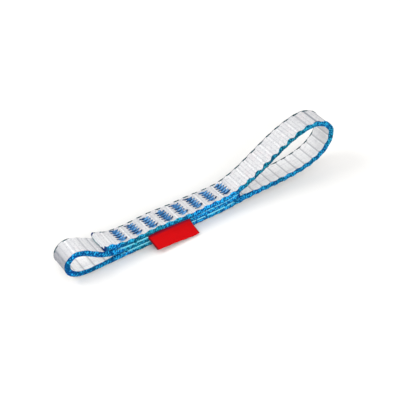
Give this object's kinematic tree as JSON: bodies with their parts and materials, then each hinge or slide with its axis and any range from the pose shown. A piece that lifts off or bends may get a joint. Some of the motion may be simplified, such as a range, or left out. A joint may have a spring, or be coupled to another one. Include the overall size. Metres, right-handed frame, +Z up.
{
  "type": "quickdraw sling",
  "caption": "Flat woven sling with a large loop at one end and a small loop at the other, its layers bar-tacked together, with a folded fabric tab sewn into one edge.",
  "frame": {"origin": "centre of the bounding box's bottom face: the plane that the stitched underside lies on", "axes": "+X runs along the sling from the small loop to the large loop, +Y across the tape away from the tab, +Z up out of the stitched stack's upper layer"},
  "size_m": [0.1496, 0.0186, 0.0298],
  "materials": {
    "tape_webbing": "white flat woven tape with transverse ribs and blue woven edges",
    "tack_thread": "blue multifilament sewing thread",
    "tab_fabric": "red closely woven ribbon with a slight sheen"
  },
  "bodies": {
    "stitched_body": {"top_layer": "tape_webbing", "middle_layer": "tape_webbing", "bottom_layer": "tape_webbing", "label_tail": "tab_fabric", "tack_1_needle_thread": "tack_thread", "tack_1_bobbin_thread": "tack_thread", "tack_2_needle_thread": "tack_thread", "tack_2_bobbin_thread": "tack_thread", "tack_3_needle_thread": "tack_thread", "tack_3_bobbin_thread": "tack_thread", "tack_4_needle_thread": "tack_thread", "tack_4_bobbin_thread": "tack_thread", "tack_5_needle_thread": "tack_thread", "tack_5_bobbin_thread": "tack_thread", "tack_6_needle_thread": "tack_thread", "tack_6_bobbin_thread": "tack_thread", "tack_7_needle_thread": "tack_thread", "tack_7_bobbin_thread": "tack_thread", "tack_8_needle_thread": "tack_thread", "tack_8_bobbin_thread": "tack_thread"},
    "large_loop": {"big_loop": "tape_webbing"},
    "small_loop": {"small_loop": "tape_webbing", "top_layer_end": "tape_webbing"},
    "label": {"label_flap": "tab_fabric"}
  },
  "joints": [
    {"name": "large_loop_bend", "type": "hinge", "parent": "stitched_body", "child": "large_loop", "pos_m": [0.01585, 0.00306, 0.0057], "axis": [0, 1, 0], "range_deg": [-60, 60], "stiffness_Nm_per_rad": 0.05},
    {"name": "small_loop_bend", "type": "hinge", "parent": "stitched_body", "child": "small_loop", "pos_m": [-0.04815, 0.00306, 0.0051], "axis": [0, 1, 0], "range_deg": [-60, 60], "stiffness_Nm_per_rad": 0.04},
    {"name": "label_bend", "type": "hinge", "parent": "stitched_body", "child": "label", "pos_m": [-0.0209, -0.00364, 0.00615], "axis": [1, 0, 0], "range_deg": [-100, 25], "stiffness_Nm_per_rad": 0.0004}
  ]
}
